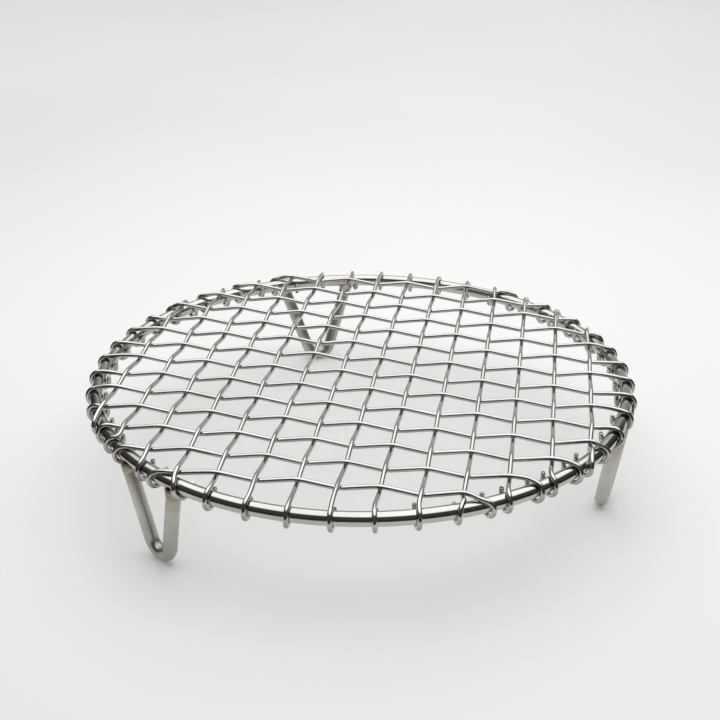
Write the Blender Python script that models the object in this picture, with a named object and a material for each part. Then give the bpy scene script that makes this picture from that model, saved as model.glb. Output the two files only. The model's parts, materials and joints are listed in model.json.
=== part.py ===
"""Round wire cooling rack.

A plain weave of crimped wires is hooked round a rim hoop of heavier wire, and the hoop stands on
three V-shaped feet bent from the same heavy wire and welded under it.
Metres, +Z up. The origin is on the floor under the centre of the hoop. Weft wires run along X and
warp wires along Y.
"""
import math

import bmesh
import bpy
from mathutils import Vector

# Driving dimensions.
PITCH = 0.0128             # between neighbouring mesh wires
WIRES_EACH_WAY = 14
MESH_WIRE = 0.0016         # diameter of a mesh wire
HEAVY_WIRE = 0.0048        # diameter of the hoop and the feet
HOOP_RADIUS = 0.0959       # to the middle of the hoop's wire
MESH_HEIGHT = 0.0380       # middle of the weave above the floor
HOOP_DROP = 0.0037         # middle of the hoop's wire below the middle of the weave
CLEARANCE = 0.0003         # left between pieces that touch on the real rack

# Hooks: each wire end goes over the hoop, down its outside, under it and up inside.
HOOK_STEP = math.radians(45)
HOOK_STEPS = 6
HOOK_PITCH = 0.0021        # how far the cut end sits beside its own wire, along the hoop
CUT_END = 0.0030           # straight tail at the end of a hook
SHORT_CUT_END = 0.0010     # the same where another mesh wire lies close above it
# Where a hook settles round the hoop, in degrees from the wire's own direction, for the wires
# from the middle of the rack outwards.
HOOK_ANGLES = (3.8, 11.5, 19.3, 26.4, 36.3, 46.6, 57.0)
SHORT_TAILED = 3           # place in HOOK_ANGLES of the wires that end in a short tail
# Hooks that settle elsewhere, to make room for a foot's arm: (way, number, end) and its angle.
MOVED_HOOKS = {("weft", 2, -1): 45.2, ("warp", 2, -1): 49.0}
# Hooks wound the other way: (way, number, end).
LEFT_HANDED = {("warp", 10, -1), ("warp", 13, -1), ("weft", 2, 1), ("weft", 5, 1), ("warp", 6, 1)}
# A crossing that would sit on the hoop is pulled in to this far inside its middle.
CROSSING_INSET = 0.0023

# Feet: (name, direction from the centre in degrees, how far the foot leans in at the floor, and how
# far its arms stand from its middle at the hoop).
FEET = (("leg_front_left", 235.1, 0.0020, 0.0116),
        ("leg_right", 348.45, 0.0041, 0.0103),
        ("leg_back_left", 111.4, 0.0064, 0.0135))
FOOT_BEND = 0.0052         # radius of the bend at the floor, to the middle of the wire
FOOT_BEND_STEPS = 7
FOOT_SIDES = 8
WELD_HEIGHT = 0.0016
WELD_BULGE = 0.0004        # how far a weld stands out past the arm it holds

MESH_SIDES = 6
HOOP_SIDES = 8
HOOP_SEGMENTS = 72
WELD_SIDES = 10

# Worked out from the driving dimensions.
HOOP_HEIGHT = MESH_HEIGHT - HOOP_DROP
CRIMP = (MESH_WIRE + CLEARANCE) / 2
HOOK_RADIUS = ((HEAVY_WIRE + MESH_WIRE) / 2 + CLEARANCE) / math.cos(HOOK_STEP / 2)
WELD_TOP = HOOP_HEIGHT - HEAVY_WIRE / 2 - CLEARANCE
ARM_TOP = WELD_TOP - WELD_HEIGHT - CLEARANCE

UP = Vector((0, 0, 1))

# Finishes: (colour, roughness).
BRIGHT_STEEL = ((0.62, 0.61, 0.59, 1), 0.16)
HOOP_STEEL = ((0.64, 0.63, 0.61, 1), 0.12)
SATIN_STEEL = ((0.47, 0.46, 0.43, 1), 0.38)
WELD_STEEL = ((0.36, 0.31, 0.25, 1), 0.45)


def clear_scene():
    for old in list(bpy.data.objects):
        bpy.data.objects.remove(old)


def make_material(name, finish):
    """A Principled steel of the given finish, one for each sub-part."""
    colour, roughness = finish
    material = bpy.data.materials.new(name)
    material.use_nodes = True
    shader = material.node_tree.nodes["Principled BSDF"]
    shader.inputs["Base Color"].default_value = colour
    shader.inputs["Roughness"].default_value = roughness
    shader.inputs["Metallic"].default_value = 1.0
    material.diffuse_color = colour
    return material


def finish_part(name, mesh, finish):
    """Shade a mesh smooth and put it in the scene as one sub-part."""
    for face in mesh.polygons:
        face.use_smooth = len(face.vertices) == 4
    mesh.materials.append(make_material(name, finish))
    part = bpy.data.objects.new(name, mesh)
    bpy.context.scene.collection.objects.link(part)
    return part


def directions_along(points):
    """The direction of travel at each point of a path, halfway between its two runs."""
    runs = [(b - a).normalized() for a, b in zip(points, points[1:])]
    middle = [(a + b).normalized() for a, b in zip(runs, runs[1:])]
    return [runs[0]] + middle + [runs[-1]]


def carried_sides(directions, first_side):
    """Carry a side direction along a path without twisting it."""
    sides = [first_side]
    for before, after in zip(directions, directions[1:]):
        sides.append(before.rotation_difference(after) @ sides[-1])
    return sides


def sweep(name, points, directions, sides, radii, corners, finish):
    """One closed round bar along a path, with a ring of corners at each point."""
    shape = bmesh.new()
    rings = []
    for point, direction, side, radius in zip(points, directions, sides, radii):
        across = (side - side.dot(direction) * direction).normalized()
        over = direction.cross(across)
        ring = []
        for corner in range(corners):
            turn = math.tau * (corner + 0.5) / corners
            ring.append(shape.verts.new(point + radius * (math.cos(turn) * across + math.sin(turn) * over)))
        rings.append(ring)
    for ring, following in zip(rings, rings[1:]):
        for corner in range(corners):
            beside = (corner + 1) % corners
            shape.faces.new((ring[corner], ring[beside], following[beside], following[corner]))
    shape.faces.new(reversed(rings[0]))
    shape.faces.new(rings[-1])
    bmesh.ops.recalc_face_normals(shape, faces=shape.faces)
    mesh = bpy.data.meshes.new(name)
    shape.to_mesh(mesh)
    shape.free()
    return finish_part(name, mesh, finish)


def wire_offset(number):
    """How far a mesh wire, numbered from 1, lies from the centre line."""
    return (number - (WIRES_EACH_WAY + 1) / 2) * PITCH


def crossing(weft, warp):
    """Where two mesh wires cross, level with the weave, or None outside the hoop."""
    spot = Vector((wire_offset(warp), wire_offset(weft), MESH_HEIGHT))
    reach = math.hypot(spot.x, spot.y)
    if reach > HOOP_RADIUS:
        return None
    pull = min(1.0, (HOOP_RADIUS - CROSSING_INSET) / reach)
    return Vector((spot.x * pull, spot.y * pull, MESH_HEIGHT))


def woven_points(way, number):
    """The crests of one wire, above every second wire that it crosses and below the others."""
    points = []
    for other in range(1, WIRES_EACH_WAY + 1):
        weft, warp = (number, other) if way == "weft" else (other, number)
        spot = crossing(weft, warp)
        if spot is None:
            continue
        weft_on_top = (weft + warp) % 2 == 0
        rise = CRIMP if weft_on_top == (way == "weft") else -CRIMP
        points.append(spot + rise * UP)
    return points


def hook_points(way, number, end):
    """The path of a wire's hook, from the top of the hoop to the cut end."""
    ahead = Vector((end, 0, 0)) if way == "weft" else Vector((0, end, 0))
    left = UP.cross(ahead)
    offset = wire_offset(number) * (end if way == "weft" else -end)
    place = int(abs(offset) / PITCH)
    arrival = math.asin(offset / HOOP_RADIUS)
    settled = math.radians(MOVED_HOOKS.get((way, number, end), HOOK_ANGLES[place]))
    settled = math.copysign(settled, offset)
    hand = -1 if (way, number, end) in LEFT_HANDED else 1
    quarter_steps = math.radians(90) / HOOK_STEP
    points = []
    for step in range(HOOK_STEPS + 1):
        over_top = max(0.0, 1 - step / quarter_steps)
        wound = max(0.0, step - quarter_steps) / (HOOK_STEPS - quarter_steps)
        around = settled + (arrival - settled) * over_top ** 2 + hand * wound * HOOK_PITCH / HOOP_RADIUS
        outward = math.cos(around) * ahead + math.sin(around) * left
        turn = math.radians(90) - step * HOOK_STEP
        reach = HOOP_RADIUS + HOOK_RADIUS * math.cos(turn)
        height = HOOP_HEIGHT + HOOK_RADIUS * math.sin(turn)
        points.append(outward * reach + height * UP)
    tail = SHORT_CUT_END if place == SHORT_TAILED else CUT_END
    points.append(points[-1] + tail * UP)
    return points


def make_mesh_wire(way, number):
    """One crimped wire of the weave with a hook at each end."""
    points = list(reversed(hook_points(way, number, -1)))
    points += woven_points(way, number)
    points += hook_points(way, number, 1)
    directions = directions_along(points)
    sideways = Vector((0, 1, 0)) if way == "weft" else Vector((1, 0, 0))
    sides = carried_sides(directions, sideways)
    radii = [MESH_WIRE / 2] * len(points)
    sweep(f"{way}_wire_{number:02d}", points, directions, sides, radii, MESH_SIDES, BRIGHT_STEEL)


def make_hoop():
    """The rim: one ring of heavy wire."""
    bpy.ops.mesh.primitive_torus_add(
        major_radius=HOOP_RADIUS,
        minor_radius=HEAVY_WIRE / 2,
        major_segments=HOOP_SEGMENTS,
        minor_segments=HOOP_SIDES,
        location=(0, 0, HOOP_HEIGHT),
    )
    hoop = bpy.context.object
    hoop.name = "rim_hoop"
    hoop.data.name = "rim_hoop"
    for face in hoop.data.polygons:
        face.use_smooth = True
    hoop.data.materials.append(make_material("rim_hoop", HOOP_STEEL))


def foot_outline(spread):
    """One foot in its own plane: (along, height) from one arm's top to the other's."""
    wire_below = HEAVY_WIRE / 2 * math.cos(math.pi / FOOT_SIDES)
    bend_middle = FOOT_BEND + wire_below
    rise = ARM_TOP - bend_middle
    span = math.hypot(spread, rise)
    tangent_turn = math.atan2(rise, spread) - math.acos(FOOT_BEND / span)
    sweep_angle = math.pi + 2 * tangent_turn
    outline = [(spread, ARM_TOP)]
    for step in range(FOOT_BEND_STEPS + 1):
        turn = tangent_turn - sweep_angle * step / FOOT_BEND_STEPS
        outline.append((FOOT_BEND * math.cos(turn), bend_middle + FOOT_BEND * math.sin(turn)))
    outline.append((-spread, ARM_TOP))
    half_step = sweep_angle / FOOT_BEND_STEPS / 2
    lowest = min(height for _, height in outline)
    sink = lowest - wire_below * math.cos(half_step)
    return [(along, height - sink if height < ARM_TOP else height) for along, height in outline]


def make_foot(name, degrees, lean, spread):
    """A V of heavy wire standing on its bend, with a weld on top of each arm."""
    turn = math.radians(degrees)
    outward = Vector((math.cos(turn), math.sin(turn), 0))
    along_hoop = UP.cross(outward)
    hung_at = outward * HOOP_RADIUS
    points = [hung_at + along_hoop * along + height * UP for along, height in foot_outline(spread)]
    directions = directions_along(points)
    directions[0] = -UP
    directions[-1] = UP
    radii = [HEAVY_WIRE / 2] * len(points)
    foot = sweep(name, points, directions, [outward] * len(points), radii, FOOT_SIDES, SATIN_STEEL)
    for vertex in foot.data.vertices:
        vertex.co -= outward * lean * (1 - vertex.co.z / ARM_TOP)
    for letter, arm_top in (("a", points[0]), ("b", points[-1])):
        make_weld(f"{name}_weld_{letter}", arm_top, outward)


def make_weld(name, arm_top, outward):
    """The bead of weld metal between an arm and the hoop."""
    low = Vector((arm_top.x, arm_top.y, WELD_TOP - WELD_HEIGHT))
    points = [low, low + WELD_HEIGHT / 2 * UP, low + WELD_HEIGHT * UP]
    radii = [HEAVY_WIRE / 2, HEAVY_WIRE / 2 + WELD_BULGE, HEAVY_WIRE / 2]
    sweep(name, points, [UP] * 3, [outward] * 3, radii, WELD_SIDES, WELD_STEEL)


def main():
    clear_scene()
    make_hoop()
    for way in ("weft", "warp"):
        for number in range(1, WIRES_EACH_WAY + 1):
            make_mesh_wire(way, number)
    for name, degrees, lean, spread in FEET:
        make_foot(name, degrees, lean, spread)


main()
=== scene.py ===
"""Looks of the round wire cooling rack: bright crimped mesh, polished hoop, satin feet, tinted welds.

Every CAD node is replaced by a rounder, smoother piece in the same place. The mesh wires lie closer to
each other and to the hoop than in the CAD, and their cut ends are up to about 3 mm from the CAD's.
"""
import json
import math

import bpy
from mathutils import Matrix, Vector


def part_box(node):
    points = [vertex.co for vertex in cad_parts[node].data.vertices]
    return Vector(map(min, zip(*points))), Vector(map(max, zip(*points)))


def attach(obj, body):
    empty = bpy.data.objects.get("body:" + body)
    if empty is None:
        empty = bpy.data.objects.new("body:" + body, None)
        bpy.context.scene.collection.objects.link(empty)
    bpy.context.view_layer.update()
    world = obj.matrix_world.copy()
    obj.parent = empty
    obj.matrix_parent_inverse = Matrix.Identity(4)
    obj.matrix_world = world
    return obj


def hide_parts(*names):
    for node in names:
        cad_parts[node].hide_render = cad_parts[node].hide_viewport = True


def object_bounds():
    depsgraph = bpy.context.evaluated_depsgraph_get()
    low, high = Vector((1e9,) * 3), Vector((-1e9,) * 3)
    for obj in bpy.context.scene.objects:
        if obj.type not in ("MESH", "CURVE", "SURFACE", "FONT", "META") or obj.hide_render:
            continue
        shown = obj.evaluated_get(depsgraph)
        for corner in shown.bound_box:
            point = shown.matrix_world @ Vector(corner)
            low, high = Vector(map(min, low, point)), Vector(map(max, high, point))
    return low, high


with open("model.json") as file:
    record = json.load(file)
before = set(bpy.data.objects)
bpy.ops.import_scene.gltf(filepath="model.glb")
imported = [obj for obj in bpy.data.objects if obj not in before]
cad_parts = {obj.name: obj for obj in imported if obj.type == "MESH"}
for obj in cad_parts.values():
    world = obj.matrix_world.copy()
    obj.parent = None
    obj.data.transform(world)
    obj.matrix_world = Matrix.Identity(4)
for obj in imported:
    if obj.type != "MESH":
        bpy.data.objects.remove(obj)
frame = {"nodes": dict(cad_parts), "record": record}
CAD_BOX = [list(corner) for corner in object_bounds()]

UP = Vector((0, 0, 1))

# Sizes read from the frame.
HOOP_LOW, HOOP_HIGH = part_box("rim_hoop")
HEAVY_WIRE = HOOP_HIGH.z - HOOP_LOW.z
HOOP_HEIGHT = (HOOP_HIGH.z + HOOP_LOW.z) / 2
HOOP_RADIUS = (HOOP_HIGH.x - HOOP_LOW.x - HEAVY_WIRE) / 2
WIRES_EACH_WAY = sum(name.startswith("weft_wire_") for name in frame["nodes"])
FLOOR_HEIGHT = CAD_BOX[0][2]

# Sizes of the weave, in metres.
PITCH = 0.0128
MESH_WIRE = 0.0016
WEAVE_HEIGHT = HOOP_HEIGHT + 0.0037
CRIMP = MESH_WIRE / 2 + 0.00003  # how far a crest lies above or below the middle of the weave
CREST_SHARE = 0.17            # part of the run between two crossings that bends at each crest
RUN_STEPS = 10
CROSSING_INSET = 0.0023       # least distance from a crossing to the middle of the hoop's wire
MESH_CORNERS = 14
CUT_FACE_SHARE = 0.8          # radius of a cut face as a share of its wire's

# Hooks round the hoop.
HOOK_RADIUS = (HEAVY_WIRE + MESH_WIRE) / 2 + 0.00005
HOOK_TURN = math.radians(272)
HOOK_STEPS = 34
ARRIVAL_STEPS = 10
# How far round the hoop the hooks sit from the way their wires point, in degrees, middle wires first.
HOOK_ANGLES = (3.8, 11.5, 19.3, 26.4, 36.3, 46.6, 57.0)
# The same for single hooks, each given by the way of its wire, the wire's number and the end.
MOVED_HOOKS = {("weft", 2, -1): 45.2, ("warp", 2, -1): 49.0}
HOOK_WINDING = 0.0007         # how far a hook winds along the hoop, away from the middle wires
# Hooks that wind otherwise, most of them to keep clear of a weld; less than 0 is clockwise from above.
OTHER_WINDINGS = {("weft", 5, 1): -0.0027, ("weft", 7, 1): 0.0020, ("warp", 4, -1): 0.0020,
                  ("warp", 6, 1): -0.0020, ("warp", 10, -1): -0.0003}
HOOK_SAG = 0.0004             # how much looser a hook sits under the hoop than over it
# Bounds on how sharply a hook turns off the line of its wire, and the least slide that is reckoned with.
GENTLE_EASING = 2.0
SHARP_EASING = 3.5
LEAST_SHIFT = 0.0001

# Cut ends of the hooks.
CUT_END = 0.0016
LONG_CUT_END = 0.0026         # on the right, where more of the wire was left
LONG_CUTS_FROM = 0.025
SHORT_CUT_END = 0.0009        # where another mesh wire lies close above it
SHORT_TAILED = 3              # place in HOOK_ANGLES of the hooks that have those
CUT_END_UNDER_WIRE = 0.0033   # height of the mesh wire over the start of a cut end
CUT_STEPS = 4

# Hoop and feet.
HEAVY_CORNERS = 28
HOOP_SEGMENTS = 288
FOOT_NAMES = ("leg_front_left", "leg_right", "leg_back_left")
FOOT_BEND = 0.0052
ARM_STEPS = 14
BEND_STEPS = 18
ARM_END_GAP = 0.0004          # from the middle of an arm's end up to the hoop

# Welds, as rings from the arm up to the hoop.
WELD_RINGS = 7
WELD_BULGE = 0.00022
BULGE_FULLNESS = 0.8          # less than 1 makes the bulge start and end more steeply
WELD_INSET = 0.00005          # how far inside the arm's surface a bead starts
WELD_FLARE = 0.0002           # how much wider it ends
WELD_RUN_DOWN = 0.0006        # how far it reaches down the arm, past the CAD's
WELD_SINK = 0.0003            # how far it reaches into the hoop
HOOP_WRAP = 0.42              # how far out it follows the hoop's roundness, as a share of the heavy wire
# Uneven sides of a bead: lobes round it, how far they turn on the way up, and their depth.
WELD_LOBES = ((3, 2, 0.03), (7, 0, 0.02))

# Range that noise mostly stays in.
NOISE_LOW = 0.3
NOISE_HIGH = 0.7

# Dark, middle and light tone of each steel.
HOOP_TONES = ((0.44, 0.43, 0.405), (0.50, 0.49, 0.465), (0.57, 0.565, 0.55))
MESH_TONES = ((0.46, 0.45, 0.425), (0.56, 0.55, 0.53), (0.65, 0.645, 0.63))
FOOT_TONES = ((0.32, 0.315, 0.285), (0.48, 0.47, 0.43), (0.64, 0.635, 0.605))
WELD_TONES = ((0.28, 0.24, 0.19), (0.40, 0.37, 0.31), (0.50, 0.48, 0.44))
CARD_TONES = ((0.02, 0.02, 0.02), (0.025, 0.025, 0.025), (0.03, 0.03, 0.03))
# Straw, brown and grey heat tint, each with the heat that brings it, where 1 is the heat of the weld.
HEAT_TINTS = ((0.35, (0.50, 0.43, 0.31)), (0.62, (0.32, 0.21, 0.12)), (0.9, (0.20, 0.17, 0.16)))
HEAT_SHOWS = (0.1, 0.6)       # heat where tint starts to show, and where it covers the steel
HEAT_PATCHES = (0.3, 0.6, 0.7, 1.15)  # range of noise, and the share of the heat that it stands for
DRAWN_GRAIN = (60, 9, 1)      # scale of the streaks along a wire, round it and across
GRAIN_DEPTH = 0.00008
RIPPLE_DEPTH = 0.0002
FACING_DOWN = -0.35           # upward part of the normal where the painted shade on an underside is complete
FACING_UP = 0.25              # and where it ends

MATT = 0.9

# Floor: its tone, and the painted shade and painted light that change it with the distance from the rack.
FLOOR_REACH = 4
FLOOR_CORNERS = 96
FLOOR_TONES = (0.56, 0.58)
FLOOR_TINT = (1.0, 1.0, 0.988)
SIDE_SHADE = 0.95
SIDE_SHADE_SQUARE = 0.12      # square of the distance to the side where that is reached
FRONT_SHADE = 0.94
FRONT_SHADE_SPAN = (-0.15, 0.1)
BACK_PAINTED_LIGHT = 1.10
BACK_PAINTED_LIGHT_SPAN = (0.1, 0.6)

# Soft light overhead and wall behind, as angles from their middles.
SOFT_LIGHT_LEAN = math.radians(13)
SOFT_LIGHT_CORE = math.radians(35)
SOFT_LIGHT_EDGE = math.radians(51)
SOFT_LIGHT_GLOW = 1.9
BACK_WALL_CORE = math.radians(20)
BACK_WALL_EDGE = math.radians(50)
BACK_WALL_GLOW = 0.50
ROOM_GLOW = 0.07

# Dark card in front.
DARK_CARD_RADIUS = 0.20
DARK_CARD_HEIGHT = 0.06
DARK_CARD_LIFT = 0.0005       # above the floor
DARK_CARD_MIDDLE = math.radians(270)
DARK_CARD_SWEEP = math.radians(220)
DARK_CARD_STEPS = 48

# Camera, from the framing of the rack.
CAMERA_PLACE = Vector((0.0610, -0.3783, 0.2234))
CAMERA_TURN = math.radians(9.227)
CAMERA_TILT = math.radians(64.495)
CAMERA_ROLL = math.radians(0.119)
CAMERA_LENS = 57.68
CAMERA_SENSOR = 36
NEAREST_SEEN = 0.01


# Shapes -------------------------------------------------------------------------------------------

def directions_along(points, closed=False):
    """The direction of travel at each point of a path."""
    last = len(points) - 1
    directions = []
    for place in range(len(points)):
        before = points[place - 1] if closed or place > 0 else points[place]
        after = points[(place + 1) % len(points)] if closed or place < last else points[place]
        directions.append((after - before).normalized())
    return directions


def carried_sides(directions, first_side):
    """Carry a side direction along a path without twisting it."""
    sides = [first_side]
    for before, after in zip(directions, directions[1:]):
        sides.append(before.rotation_difference(after) @ sides[-1])
    return sides


def lengths_along(points):
    """How far along the path each point lies."""
    lengths = [0.0]
    for a, b in zip(points, points[1:]):
        lengths.append(lengths[-1] + (b - a).length)
    return lengths


def tube_skin(marks, corners, closed=False):
    """The faces of a tube with a ring of corners at each mark, and their UV places, which take the marks
    as lengths. The last mark of a closed tube is its first ring again."""
    rings = len(marks) - 1 if closed else len(marks)
    faces = []
    spots = []
    for ring, (mark, next_mark) in enumerate(zip(marks, marks[1:])):
        following = (ring + 1) % rings
        for corner in range(corners):
            beside = (corner + 1) % corners
            faces.append((ring * corners + corner, ring * corners + beside,
                          following * corners + beside, following * corners + corner))
            turn, next_turn = corner / corners, (corner + 1) / corners
            spots += [(mark, turn), (mark, next_turn), (next_mark, next_turn), (next_mark, turn)]
    if not closed:
        faces.append(tuple(reversed(range(corners))))
        faces.append(tuple(range((rings - 1) * corners, rings * corners)))
        spots += [(marks[0], 0.0)] * corners + [(marks[-1], 0.0)] * corners
    return faces, spots


def round_bar(name, points, radii, corners, first_side, closed=False):
    """A round bar along a path. Its UV map runs along the bar in metres and once round it."""
    directions = directions_along(points, closed)
    sides = carried_sides(directions, first_side)
    vertices = []
    for point, direction, side, radius in zip(points, directions, sides, radii):
        across = (side - side.dot(direction) * direction).normalized()
        over = direction.cross(across)
        for corner in range(corners):
            turn = math.tau * corner / corners
            vertices.append(point + radius * (math.cos(turn) * across + math.sin(turn) * over))
    marks = lengths_along(points + points[:1] if closed else points)
    return make_piece(name, vertices, *tube_skin(marks, corners, closed))


def make_piece(name, vertices, faces, spots):
    """A mesh object with a UV map, shaded smooth but for its flat ends."""
    mesh = bpy.data.meshes.new(name)
    mesh.from_pydata([tuple(vertex) for vertex in vertices], [], faces)
    layer = mesh.uv_layers.new(name="along")
    for loop, spot in zip(layer.data, spots):
        loop.uv = spot
    for face in mesh.polygons:
        face.use_smooth = len(face.vertices) == 4
    mesh.update()
    piece = bpy.data.objects.new(name, mesh)
    bpy.context.scene.collection.objects.link(piece)
    return piece


def eased(share, bend):
    """Goes from 0 to 1 along a run, straight in the middle and bending only at its two ends."""
    if share > 0.5:
        return 1 - eased(1 - share, bend)
    if share < bend:
        return share ** 2 / (2 * bend * (1 - bend))
    return (share - bend / 2) / (1 - bend)


def wire_offset(number):
    return (number - (WIRES_EACH_WAY + 1) / 2) * PITCH


def crossing(weft, warp):
    """Where two mesh wires cross, level with the weave, or None outside the hoop."""
    spot = Vector((wire_offset(warp), wire_offset(weft), 0))
    if spot.length > HOOP_RADIUS:
        return None
    spot *= min(1.0, (HOOP_RADIUS - CROSSING_INSET) / spot.length)
    return spot + WEAVE_HEIGHT * UP


def crests(way, number):
    """The top or bottom of the wire's crimp at each crossing."""
    spots = []
    for other in range(1, WIRES_EACH_WAY + 1):
        weft, warp = (number, other) if way == "weft" else (other, number)
        spot = crossing(weft, warp)
        if spot is None:
            continue
        on_top = ((weft + warp) % 2 == 0) == (way == "weft")
        spots.append(spot + (CRIMP if on_top else -CRIMP) * UP)
    return spots


def woven_path(spots):
    """The crimped run of a wire through its crests."""
    path = []
    for start, end in zip(spots, spots[1:]):
        for step in range(RUN_STEPS):
            share = step / RUN_STEPS
            point = start.lerp(end, share)
            point.z = start.z + (end.z - start.z) * eased(share, CREST_SHARE)
            path.append(point)
    path.append(spots[-1])
    return path


def meeting_turn(crest):
    """How far round the hoop from its top a straight wire from this crest touches it."""
    inside = HOOP_RADIUS - Vector((crest.x, crest.y)).length
    above = crest.z - HOOP_HEIGHT
    return max(0.0, math.acos(HOOK_RADIUS / math.hypot(inside, above)) - math.atan2(inside, above))


def cut_end_length(beside, wanted):
    """The length of a cut end that stays under its own wire, given how far beside the wire it stands."""
    room = CUT_END_UNDER_WIRE - math.sqrt(max(0.0, MESH_WIRE ** 2 - beside ** 2))
    return min(room, wanted)


def hook_path(way, number, end, crest):
    """From where the wire meets the hoop, down outside it, under it and up to the cut end inside."""
    ahead = Vector((end, 0, 0)) if way == "weft" else Vector((0, end, 0))
    left = UP.cross(ahead)
    offset = wire_offset(number) * (end if way == "weft" else -end)
    place = int(abs(offset) / PITCH)
    arrival = math.asin(offset / HOOP_RADIUS)
    settled = math.radians(MOVED_HOOKS.get((way, number, end), HOOK_ANGLES[place]))
    settled = math.copysign(settled, offset)
    winding = OTHER_WINDINGS.get((way, number, end), math.copysign(HOOK_WINDING, offset))
    start = meeting_turn(crest)
    quarter = math.radians(90)
    shift = abs(arrival - settled) * HOOP_RADIUS
    slant = math.tan(abs(arrival)) * HOOK_RADIUS * quarter
    easing = min(SHARP_EASING, max(GENTLE_EASING, slant / max(shift, LEAST_SHIFT)))
    path = []
    for step in range(HOOK_STEPS + 1):
        turned = start + (HOOK_TURN - start) * step / HOOK_STEPS
        over_top = max(0.0, 1 - turned / quarter) ** easing
        wound = max(0.0, turned - quarter) / (HOOK_TURN - quarter)
        around = settled + (arrival - settled) * over_top + wound * winding / HOOP_RADIUS
        outward = math.cos(around) * ahead + math.sin(around) * left
        reach = HOOP_RADIUS + HOOK_RADIUS * math.sin(turned)
        height = HOOK_RADIUS * math.cos(turned) - HOOK_SAG * (1 - math.cos(turned)) / 2
        path.append(outward * reach + (HOOP_HEIGHT + height) * UP)
    tip = path[-1]
    beside = abs(tip.dot(left) - offset)
    if place == SHORT_TAILED:
        tail = SHORT_CUT_END
    else:
        tail = cut_end_length(beside, LONG_CUT_END if tip.x > LONG_CUTS_FROM else CUT_END)
    heading = (tip - path[-2]).normalized()
    path += [tip + heading * tail * (step + 1) / CUT_STEPS for step in range(CUT_STEPS)]
    return path


def arrival_path(crest, ahead, hook):
    """The smooth run from the last crest to the top of the hoop."""
    span = (hook[0] - crest).length
    leaving = (hook[1] - hook[0]).normalized()
    path = []
    for step in range(1, ARRIVAL_STEPS):
        t = step / ARRIVAL_STEPS
        path.append((2 * t ** 3 - 3 * t ** 2 + 1) * crest
                    + (t ** 3 - 2 * t ** 2 + t) * span * ahead
                    + (3 * t ** 2 - 2 * t ** 3) * hook[0]
                    + (t ** 3 - t ** 2) * span * leaving)
    return path


def mesh_wire(way, number):
    """One crimped wire with its two hooks."""
    ahead = Vector((1, 0, 0)) if way == "weft" else Vector((0, 1, 0))
    spots = crests(way, number)
    near_hook = hook_path(way, number, -1, spots[0])
    far_hook = hook_path(way, number, 1, spots[-1])
    path = near_hook[::-1]
    path += arrival_path(spots[0], -ahead, near_hook)[::-1]
    path += woven_path(spots)
    path += arrival_path(spots[-1], ahead, far_hook)
    path += far_hook
    radii = [MESH_WIRE / 2] * len(path)
    radii[0] = radii[-1] = MESH_WIRE / 2 * CUT_FACE_SHARE
    return round_bar(f"crimped_{way}_{number:02d}", path, radii, MESH_CORNERS, UP.cross(ahead))


def hoop():
    """The rim hoop of heavy wire."""
    path = []
    for segment in range(HOOP_SEGMENTS):
        turn = math.tau * segment / HOOP_SEGMENTS
        path.append(Vector((HOOP_RADIUS * math.cos(turn), HOOP_RADIUS * math.sin(turn), HOOP_HEIGHT)))
    radii = [HEAVY_WIRE / 2] * len(path)
    return round_bar("polished_hoop", path, radii, HEAVY_CORNERS, UP, closed=True)


def box_middle(node):
    low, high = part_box(node)
    return (low + high) / 2


def foot_frame(name):
    """The directions of a foot: outwards, along the hoop, and half the spread of its arms."""
    first, second = box_middle(f"{name}_weld_a"), box_middle(f"{name}_weld_b")
    middle = (first + second) / 2
    outward = Vector((middle.x, middle.y, 0)).normalized()
    return outward, UP.cross(outward), (first - second).length / 2


def foot_reach(name):
    """How far from the centre the foot stands, from its resting face in the record."""
    for mount in frame["record"]["mounts"]:
        if mount["name"] == name.replace("leg_", "foot_"):
            return Vector(mount["pos_m"]).length
    raise ValueError(name)


def foot(name):
    """A V of heavy wire with a round bend at the floor, its arms ending in the welds."""
    outward, along, spread = foot_frame(name)
    lean = HOOP_RADIUS - foot_reach(name)
    top = HOOP_HEIGHT - HEAVY_WIRE / 2 - ARM_END_GAP
    weld_height = box_middle(f"{name}_weld_a").z
    bend_height = HEAVY_WIRE / 2 + FOOT_BEND
    rise = weld_height - bend_height
    tangent = math.atan2(rise, spread) - math.acos(FOOT_BEND / math.hypot(spread, rise))
    bend_end = Vector((FOOT_BEND * math.cos(tangent), bend_height + FOOT_BEND * math.sin(tangent)))
    arm_slope = (spread - bend_end.x) / (weld_height - bend_end.y)
    arm_end = Vector((spread + (top - weld_height) * arm_slope, top))
    outline = [arm_end.lerp(bend_end, step / ARM_STEPS) for step in range(ARM_STEPS)]
    for step in range(BEND_STEPS + 1):
        turn = tangent - (math.pi + 2 * tangent) * step / BEND_STEPS
        outline.append(Vector((FOOT_BEND * math.cos(turn), bend_height + FOOT_BEND * math.sin(turn))))
    outline += [Vector((-point.x, point.y)) for point in outline[ARM_STEPS - 1::-1]]
    path = [outward * HOOP_RADIUS + along * spot.x + spot.y * UP for spot in outline]
    piece = round_bar(name.replace("leg_", "bent_foot_"), path, [HEAVY_WIRE / 2] * len(path),
                      HEAVY_CORNERS, outward)
    for vertex in piece.data.vertices:
        vertex.co -= outward * lean * max(0.0, 1 - vertex.co.z / weld_height)
    return piece


def bead_radius(share, turn):
    """The radius of a weld bead, given how far up it is, from 0 to 1, and the direction round it."""
    swell = WELD_BULGE * math.sin(math.pi * share) ** BULGE_FULLNESS
    radius = HEAVY_WIRE / 2 - WELD_INSET + swell + WELD_FLARE * share
    wobble = 1 + sum(depth * math.sin(lobes * turn + lag * share) for lobes, lag, depth in WELD_LOBES)
    return radius * wobble


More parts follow.
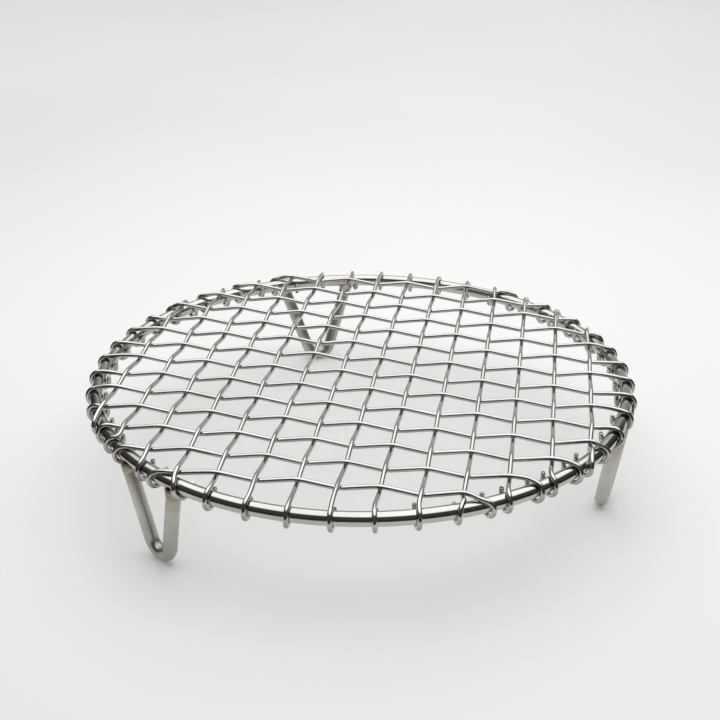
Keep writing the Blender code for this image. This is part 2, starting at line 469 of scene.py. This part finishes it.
def weld(node, outward):
    """A bead that swells from the arm and spreads over the underside of the hoop."""
    middle = box_middle(node)
    middle.z = 0
    along = UP.cross(outward)
    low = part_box(node)[0].z - WELD_RUN_DOWN
    vertices = []
    for ring in range(WELD_RINGS):
        share = ring / (WELD_RINGS - 1)
        for corner in range(HEAVY_CORNERS):
            turn = math.tau * corner / HEAVY_CORNERS
            radius = bead_radius(share, turn)
            out = radius * math.cos(turn)
            aside = radius * math.sin(turn)
            wrapped = min(abs(out), HEAVY_WIRE * HOOP_WRAP)
            high = HOOP_HEIGHT - math.sqrt((HEAVY_WIRE / 2) ** 2 - wrapped ** 2) + WELD_SINK
            vertices.append(middle + outward * out + along * aside + (low + (high - low) * share) * UP)
    marks = [ring / WELD_RINGS for ring in range(WELD_RINGS)]
    return make_piece(f"bead_{node}", vertices, *tube_skin(marks, HEAVY_CORNERS))


# Materials ----------------------------------------------------------------------------------------

class Nodes:
    """Short calls for building the node tree of a new material or world."""

    def __init__(self, owner, shader):
        owner.use_nodes = True
        self.owner = owner
        self.tree = owner.node_tree
        self.shader = self.tree.nodes[shader]

    def link(self, source, target):
        self.tree.links.new(source, target)

    def coordinates(self, output, scale=(1, 1, 1)):
        place = self.tree.nodes.new("ShaderNodeTexCoord")
        mapping = self.tree.nodes.new("ShaderNodeMapping")
        mapping.inputs["Scale"].default_value = scale
        self.link(place.outputs[output], mapping.inputs["Vector"])
        return mapping.outputs["Vector"]

    def noise(self, vector, scale, detail=3.0, roughness=0.5):
        node = self.tree.nodes.new("ShaderNodeTexNoise")
        node.inputs["Scale"].default_value = scale
        node.inputs["Detail"].default_value = detail
        node.inputs["Roughness"].default_value = roughness
        self.link(vector, node.inputs["Vector"])
        return node.outputs["Fac"]

    def spread(self, value, low, high, to_low, to_high, interpolation="LINEAR"):
        """Takes low to to_low and high to to_high, and goes no further than those."""
        node = self.tree.nodes.new("ShaderNodeMapRange")
        node.interpolation_type = interpolation
        limits = (("From Min", low), ("From Max", high), ("To Min", to_low), ("To Max", to_high))
        for name, number in limits:
            node.inputs[name].default_value = number
        self.link(value, node.inputs["Value"])
        return node.outputs["Result"]

    def ramp(self, value, stops):
        node = self.tree.nodes.new("ShaderNodeValToRGB")
        elements = node.color_ramp.elements
        while len(elements) < len(stops):
            elements.new(0.5)
        for element, (position, colour) in zip(elements, stops):
            element.position = position
            element.color = (*colour, 1)
        self.link(value, node.inputs["Fac"])
        return node.outputs["Color"]

    def tones(self, noise, tones):
        """A dark, a middle and a light tone, spread over the noise."""
        places = (NOISE_LOW, (NOISE_LOW + NOISE_HIGH) / 2, NOISE_HIGH)
        return self.ramp(noise, list(zip(places, tones)))

    def blend(self, first, second, share):
        """A share of the first value and the rest of the second."""
        rest = self.maths("MULTIPLY", second, 1 - share)
        return self.maths("ADD", self.maths("MULTIPLY", first, share), rest)

    def facing(self, output, direction):
        """How far a direction lies along another, from -1 to 1."""
        place = self.tree.nodes.new("ShaderNodeTexCoord")
        node = self.tree.nodes.new("ShaderNodeVectorMath")
        node.operation = "DOT_PRODUCT"
        node.inputs[1].default_value = direction
        self.link(place.outputs[output], node.inputs[0])
        return node.outputs["Value"]

    def axis(self, vector, name):
        """One part of a vector: X, Y or Z."""
        node = self.tree.nodes.new("ShaderNodeSeparateXYZ")
        self.link(vector, node.inputs["Vector"])
        return node.outputs[name]

    def maths(self, operation, first, second):
        node = self.tree.nodes.new("ShaderNodeMath")
        node.operation = operation
        for value, socket in zip((first, second), node.inputs):
            if isinstance(value, (int, float)):
                socket.default_value = value
            else:
                self.link(value, socket)
        return node.outputs["Value"]

    def mix(self, factor, first, second):
        node = self.tree.nodes.new("ShaderNodeMix")
        node.data_type = "RGBA"
        self.link(factor, node.inputs[0])
        self.link(first, node.inputs[6])
        self.link(second, node.inputs[7])
        return node.outputs[2]

    def bump(self, height, strength, distance):
        node = self.tree.nodes.new("ShaderNodeBump")
        node.inputs["Strength"].default_value = strength
        node.inputs["Distance"].default_value = distance
        self.link(height, node.inputs["Height"])
        self.link(node.outputs["Normal"], self.shader.inputs["Normal"])

    def paint_shade_below(self, colour, share):
        """The colour, cut down to a share of itself on faces that look downwards: painted shade on the
        underside.
        """
        surface = self.tree.nodes.new("ShaderNodeNewGeometry")
        upwards = self.axis(surface.outputs["Normal"], "Z")
        scaled = self.tree.nodes.new("ShaderNodeVectorMath")
        scaled.operation = "SCALE"
        self.link(colour, scaled.inputs[0])
        self.link(self.spread(upwards, FACING_DOWN, FACING_UP, share, 1.0), scaled.inputs["Scale"])
        return scaled.outputs["Vector"]

    def nearness(self, spots, reach):
        """1 at the given places and 0 further away than reach."""
        place = self.tree.nodes.new("ShaderNodeTexCoord")
        nearest = None
        for spot in spots:
            gap = self.tree.nodes.new("ShaderNodeVectorMath")
            gap.operation = "DISTANCE"
            gap.inputs[1].default_value = spot
            self.link(place.outputs["Object"], gap.inputs[0])
            distance = gap.outputs["Value"]
            nearest = distance if nearest is None else self.maths("MINIMUM", nearest, distance)
        return self.spread(nearest, 0.0, reach, 1.0, 0.0)


def new_material(name):
    return Nodes(bpy.data.materials.new(name), "Principled BSDF")


def as_metal(nodes, colour, roughness):
    """Finishes a metal, given where its colour and roughness come from."""
    nodes.link(colour, nodes.shader.inputs["Base Color"])
    nodes.link(roughness, nodes.shader.inputs["Roughness"])
    nodes.shader.inputs["Metallic"].default_value = 1.0
    return nodes.owner


def heat_tinted(nodes, colour, bare, clouds, welds, reach, strength):
    """The colour with patches of heat tint round the welds, from the bare tone to the darkest tint."""
    patches = nodes.spread(clouds, *HEAT_PATCHES)
    heat = nodes.maths("MULTIPLY", nodes.nearness(welds, reach), patches)
    tint = nodes.ramp(heat, [(0.0, bare), *HEAT_TINTS])
    shown = nodes.maths("MULTIPLY", nodes.spread(heat, *HEAT_SHOWS, 0.0, 1.0), strength)
    return nodes.mix(shown, colour, tint)


def steel(name, tones, roughness, scratch, welds=(), heat_reach=0.0, heat_strength=0.0, underside=1.0):
    """Stainless wire with drawn streaks along it and a clouded tone, heat tint near the given welds, and
    painted shade that cuts an underside down to a share of the colour."""
    nodes = new_material(name)
    around = nodes.coordinates("Object")
    streaks = nodes.noise(nodes.coordinates("UV", DRAWN_GRAIN), scale=14, detail=4.0, roughness=0.6)
    clouds = nodes.noise(around, scale=55)
    grime = nodes.noise(around, scale=420, detail=4.0, roughness=0.65)
    colour = nodes.tones(nodes.blend(streaks, clouds, 0.5), tones)
    if welds:
        colour = heat_tinted(nodes, colour, tones[1], clouds, welds, heat_reach, heat_strength)
    # painted shade: faces that look downwards are cut down to a share of the colour
    if underside < 1:
        colour = nodes.paint_shade_below(colour, underside)
    texture = nodes.blend(streaks, grime, 0.6)
    nodes.bump(texture, scratch, GRAIN_DEPTH)
    return as_metal(nodes, colour, nodes.spread(texture, NOISE_LOW, NOISE_HIGH, *roughness))


def hoop_steel(welds):
    """Polished heavy wire, tinted close to the welds."""
    return steel("hoop_steel", HOOP_TONES, roughness=(0.07, 0.17), scratch=0.12,
                 welds=welds, heat_reach=0.0085, heat_strength=0.8)


def mesh_steel():
    """Bright thin wire, with painted shade on its underside."""
    return steel("mesh_steel", MESH_TONES, roughness=(0.08, 0.20), scratch=0.16, underside=0.6)


def foot_steel(welds):
    """Satin heavy wire, lightly tinted towards the welds."""
    return steel("foot_steel", FOOT_TONES, roughness=(0.26, 0.44), scratch=0.45,
                 welds=welds, heat_reach=0.012, heat_strength=0.25)


def weld_steel():
    """Lumpy weld metal in dull browns and greys."""
    nodes = new_material("weld_steel")
    around = nodes.coordinates("Object")
    lumps = nodes.noise(around, scale=900, detail=4.0, roughness=0.6)
    colour = nodes.tones(nodes.noise(around, scale=260, detail=2.0), WELD_TONES)
    nodes.bump(lumps, 0.5, RIPPLE_DEPTH)
    return as_metal(nodes, colour, nodes.spread(lumps, NOISE_LOW, NOISE_HIGH, 0.3, 0.55))


def floor_material():
    """A pale floor with painted shade to the sides and the front and painted light behind the rack."""
    nodes = new_material("pale_floor")
    around = nodes.coordinates("Object")
    across = nodes.axis(around, "X")
    away = nodes.axis(around, "Y")
    # painted shade to the sides and the front, painted light behind the rack
    sides = nodes.spread(nodes.maths("MULTIPLY", across, across), 0.0, SIDE_SHADE_SQUARE, 1.0, SIDE_SHADE)
    front = nodes.spread(away, *FRONT_SHADE_SPAN, FRONT_SHADE, 1.0)
    back = nodes.spread(away, *BACK_PAINTED_LIGHT_SPAN, 1.0, BACK_PAINTED_LIGHT)
    clouds = nodes.noise(around, scale=3.0, detail=1.0)
    mottle = nodes.spread(clouds, NOISE_LOW, NOISE_HIGH, *FLOOR_TONES)
    shade = nodes.maths("MULTIPLY", sides, nodes.maths("MULTIPLY", front, back))
    tone = nodes.maths("MULTIPLY", mottle, shade)
    colour = nodes.ramp(tone, [(0.0, (0, 0, 0)), (1.0, FLOOR_TINT)])
    nodes.link(colour, nodes.shader.inputs["Base Color"])
    nodes.shader.inputs["Roughness"].default_value = MATT
    nodes.shader.inputs["Specular IOR Level"].default_value = 0.1
    return nodes.owner


def card_material():
    nodes = new_material("dark_card")
    noise = nodes.noise(nodes.coordinates("Object"), scale=20.0)
    nodes.link(nodes.tones(noise, CARD_TONES), nodes.shader.inputs["Base Color"])
    nodes.shader.inputs["Roughness"].default_value = MATT
    return nodes.owner


# The rack -----------------------------------------------------------------------------------------

def add_piece(piece, material, node):
    piece.data.materials.append(material)
    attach(piece, "root")
    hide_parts(node)


def build_rack():
    weld_spots = [box_middle(f"{name}_weld_{letter}") for name in FOOT_NAMES for letter in "ab"]
    mesh_material = mesh_steel()
    foot_material = foot_steel(weld_spots)
    weld_material = weld_steel()
    add_piece(hoop(), hoop_steel(weld_spots), "rim_hoop")
    for way in ("weft", "warp"):
        for number in range(1, WIRES_EACH_WAY + 1):
            add_piece(mesh_wire(way, number), mesh_material, f"{way}_wire_{number:02d}")
    for name in FOOT_NAMES:
        outward = foot_frame(name)[0]
        add_piece(foot(name), foot_material, name)
        for letter in "ab":
            node = f"{name}_weld_{letter}"
            add_piece(weld(node, outward), weld_material, node)


# The studio ---------------------------------------------------------------------------------------

def make_floor():
    bpy.ops.mesh.primitive_circle_add(vertices=FLOOR_CORNERS, radius=FLOOR_REACH, fill_type="NGON",
                                      location=(0, 0, FLOOR_HEIGHT))
    floor = bpy.context.object
    floor.name = "studio_floor"
    floor.data.materials.append(floor_material())


def make_world():
    """A dark room with a large soft light overhead, leaning a little back, and a grey wall behind."""
    nodes = Nodes(bpy.data.worlds.new("studio"), "Background")
    overhead = nodes.facing("Generated", (0, math.sin(SOFT_LIGHT_LEAN), math.cos(SOFT_LIGHT_LEAN)))
    soft_light = nodes.spread(overhead, math.cos(SOFT_LIGHT_EDGE), math.cos(SOFT_LIGHT_CORE),
                              ROOM_GLOW, SOFT_LIGHT_GLOW, "SMOOTHSTEP")
    behind = nodes.facing("Generated", (0, 1, 0))
    wall = nodes.spread(behind, math.cos(BACK_WALL_EDGE), math.cos(BACK_WALL_CORE),
                        0.0, BACK_WALL_GLOW, "SMOOTHSTEP")
    nodes.link(nodes.maths("MAXIMUM", soft_light, wall), nodes.shader.inputs["Strength"])
    nodes.shader.inputs["Color"].default_value = (1.0, 1.0, 1.0, 1)
    bpy.context.scene.world = nodes.owner


def make_dark_card():
    """A low dark card curved round the front of the rack, seen only in its polished steel."""
    vertices = []
    for step in range(DARK_CARD_STEPS + 1):
        turn = DARK_CARD_MIDDLE + DARK_CARD_SWEEP * (step / DARK_CARD_STEPS - 0.5)
        for height in (DARK_CARD_LIFT, DARK_CARD_HEIGHT):
            vertices.append((DARK_CARD_RADIUS * math.cos(turn), DARK_CARD_RADIUS * math.sin(turn),
                             FLOOR_HEIGHT + height))
    faces = [(2 * step, 2 * step + 2, 2 * step + 3, 2 * step + 1) for step in range(DARK_CARD_STEPS)]
    mesh = bpy.data.meshes.new("dark_card")
    mesh.from_pydata(vertices, [], faces)
    mesh.materials.append(card_material())
    card = bpy.data.objects.new("dark_card", mesh)
    bpy.context.scene.collection.objects.link(card)
    card.visible_camera = False
    card.visible_diffuse = False
    card.visible_shadow = False


def make_floor_lamp(name, place, aim, size, power, shadows):
    """A lamp for the floor, not seen in the steel."""
    light = bpy.data.lights.new(name, "AREA")
    light.size = size
    light.energy = power
    light.use_shadow = shadows
    lamp = bpy.data.objects.new(name, light)
    lamp.location = place
    lamp.rotation_euler = (Vector(aim) - Vector(place)).to_track_quat("-Z", "Y").to_euler()
    lamp.visible_glossy = False
    bpy.context.scene.collection.objects.link(lamp)


def make_camera():
    camera = bpy.data.objects.new("camera", bpy.data.cameras.new("camera"))
    camera.data.lens = CAMERA_LENS
    camera.data.sensor_width = CAMERA_SENSOR
    camera.data.clip_start = NEAREST_SEEN
    camera.location = CAMERA_PLACE
    aim = Matrix.Rotation(CAMERA_TURN, 3, "Z") @ Matrix.Rotation(CAMERA_TILT, 3, "X")
    camera.rotation_euler = (aim @ Matrix.Rotation(CAMERA_ROLL, 3, "Z")).to_euler()
    bpy.context.scene.collection.objects.link(camera)
    bpy.context.scene.camera = camera


def build_studio():
    make_floor()
    make_world()
    make_dark_card()
    make_floor_lamp("floor_fill", place=(0, 0.5, 2.0), aim=(0, 0.3, 0),
                    size=0.8, power=17, shadows=False)
    make_floor_lamp("near_lamp", place=(0.02, 0.06, 0.30), aim=(0, 0, 0),
                    size=0.50, power=0.60, shadows=True)
    make_camera()
    bpy.context.scene.view_settings.view_transform = "Standard"


build_rack()
build_studio()
